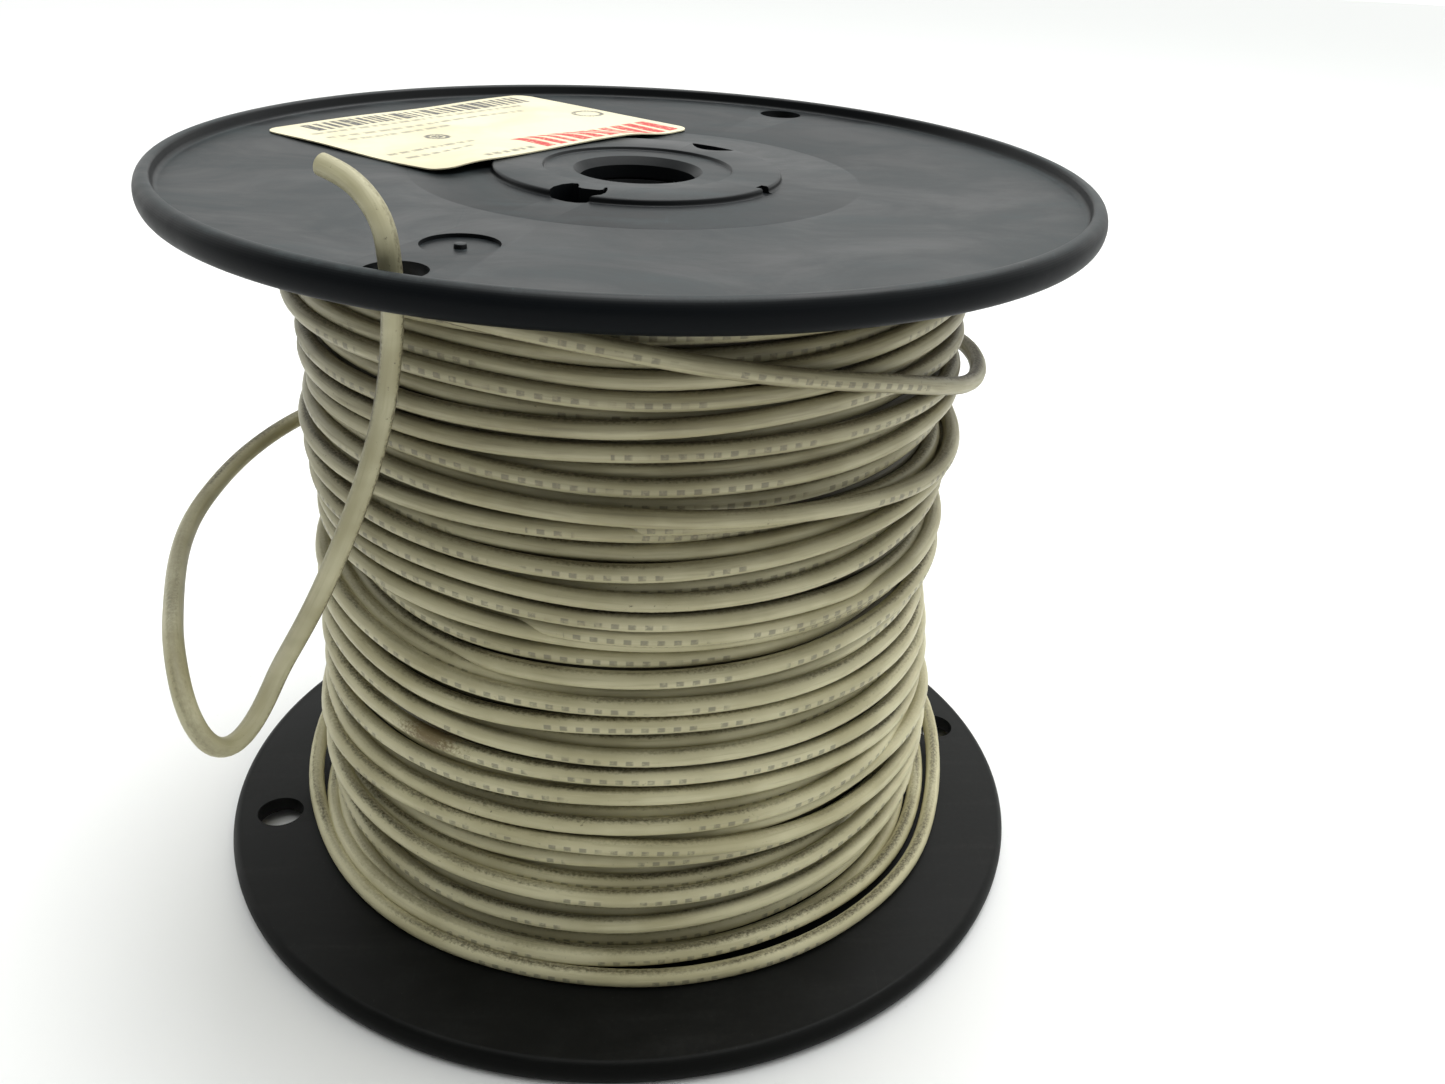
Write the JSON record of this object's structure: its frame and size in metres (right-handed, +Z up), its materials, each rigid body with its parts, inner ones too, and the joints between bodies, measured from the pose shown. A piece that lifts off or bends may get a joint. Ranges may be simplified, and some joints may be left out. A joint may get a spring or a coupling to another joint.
{
  "type": "wire spool",
  "caption": "Black moulded spool with raised-rim flanges, an arbor bore and a drum wound with pale insulated wire, its free end tucked up through a flange hole.",
  "frame": {"origin": "on the spool's axis, on the surface that the bottom flange's rim stands on", "axes": "+Z up along the arbor bore, -Y towards the side where the wire's free end comes up through the top flange"},
  "size_m": [0.165, 0.165, 0.1488],
  "materials": {
    "black_plastic": "satin moulded black, dusty, with scuffs",
    "core_plastic": "plain moulded black",
    "wire_insulation": "satin PVC, cream grey, with dark streaks of dirt",
    "copper": "bare drawn copper strands",
    "label_paper": "uncoated cream paper with grey and red print"
  },
  "bodies": {
    "root": {"top_flange": "black_plastic", "bottom_flange": "black_plastic", "drum_tube": "core_plastic", "arbor_core": "core_plastic", "inner_wire_layers": "wire_insulation", "outer_wire_layers": "wire_insulation", "slack_bottom_turns": "wire_insulation", "wire_tail": "wire_insulation", "conductor_end": "copper", "label": "label_paper"}
  },
  "joints": []
}
